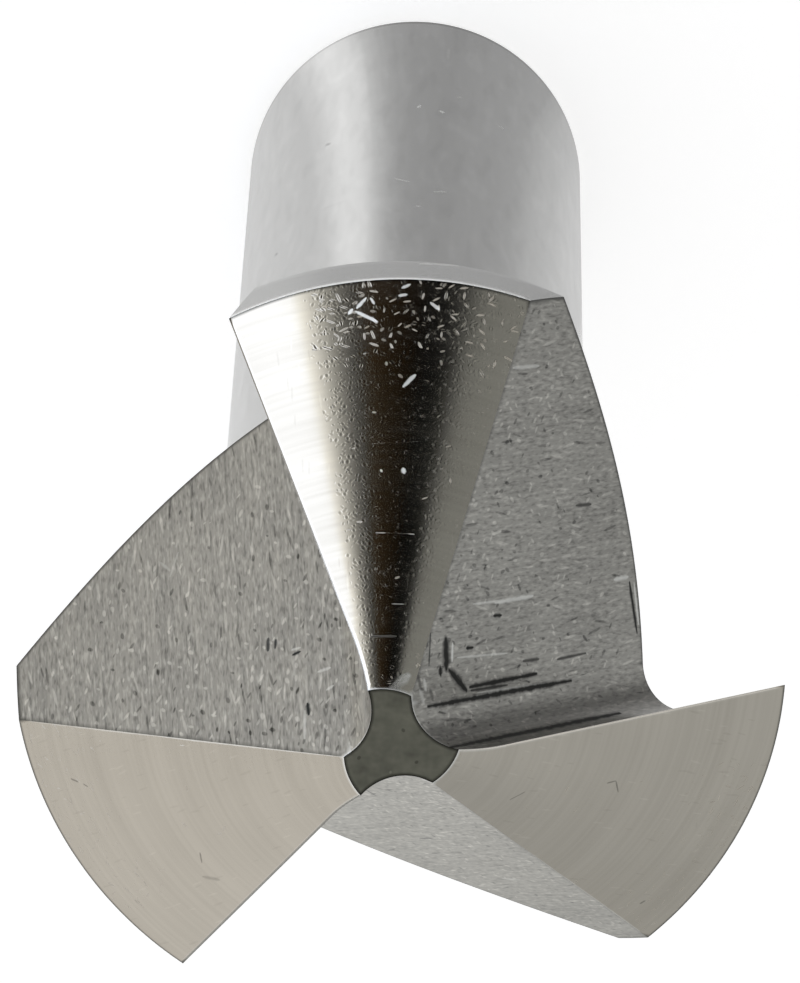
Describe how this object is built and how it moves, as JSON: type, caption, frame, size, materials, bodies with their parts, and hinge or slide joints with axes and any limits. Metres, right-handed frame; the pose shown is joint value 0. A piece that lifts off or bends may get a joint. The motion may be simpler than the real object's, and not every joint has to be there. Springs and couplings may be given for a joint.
{
  "type": "countersink bit",
  "caption": "Steel countersink bit: a right-angled cutting cone with ground V flutes and relieved lands, a straight margin, and a plain round shank.",
  "frame": {"origin": "centre of the flat end face of the shank, on which the bit stands", "axes": "+Z along the axis from the shank to the cutting tip; +X towards the outer corner of the first cutting edge"},
  "size_m": [0.0203, 0.0191, 0.063],
  "materials": {
    "ground_steel": "ground bright, with grinding lines in the flutes and a smoother shank"
  },
  "bodies": {
    "root": {"countersink_bit": "ground_steel"}
  },
  "joints": []
}
